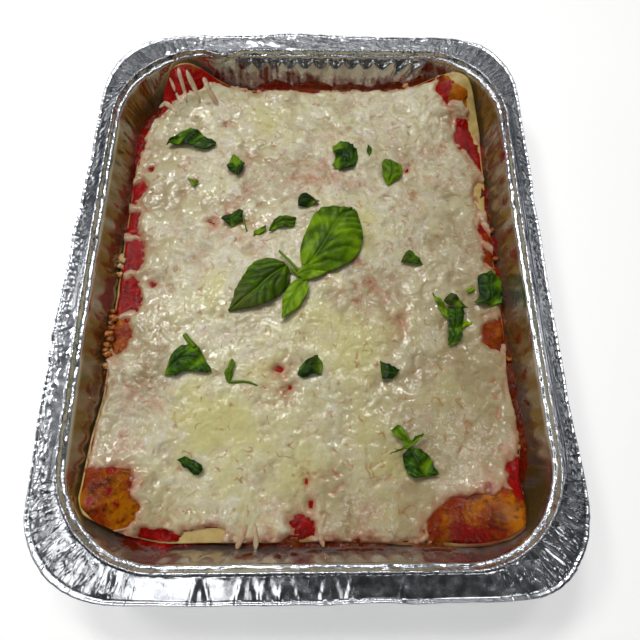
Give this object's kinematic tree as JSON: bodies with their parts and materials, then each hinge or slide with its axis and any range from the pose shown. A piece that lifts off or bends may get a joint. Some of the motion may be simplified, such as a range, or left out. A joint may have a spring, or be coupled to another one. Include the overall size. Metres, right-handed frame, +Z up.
{
  "type": "baked lasagna in foil pan",
  "caption": "Baked lasagna filling a flared foil pan with fluted walls and a broad flat rim, topped with tomato sauce, melted cheese, a basil sprig and torn basil.",
  "frame": {"origin": "under the middle of the whole, on the surface that the pan rests on", "axes": "+Y along the pan towards its far end, +X across it to the right, +Z up out of the pan"},
  "size_m": [0.2632, 0.3238, 0.056],
  "materials": {
    "foil": "bright pressed foil, creased at the rim",
    "pasta": "baked pasta and filling, satin",
    "sauce": "oily tomato sauce, wet",
    "cheese": "melted cheese, moist satin with shreds",
    "basil": "fresh leaf, waxy"
  },
  "bodies": {
    "root": {"foil_pan": "foil", "pasta_stack": "pasta", "tomato_sauce": "sauce", "melted_cheese": "cheese", "basil_sprig": "basil", "basil_01": "basil", "basil_02": "basil", "basil_03": "basil", "basil_04": "basil", "basil_05": "basil", "basil_06": "basil", "basil_07": "basil", "basil_08": "basil", "basil_09": "basil", "basil_10": "basil", "basil_11": "basil", "basil_12": "basil", "basil_13": "basil", "basil_14": "basil", "basil_15": "basil", "basil_16": "basil", "basil_17": "basil", "basil_18": "basil", "basil_19": "basil", "basil_20": "basil", "basil_21": "basil", "basil_22": "basil", "basil_23": "basil", "basil_24": "basil", "basil_25": "basil"}
  },
  "joints": []
}
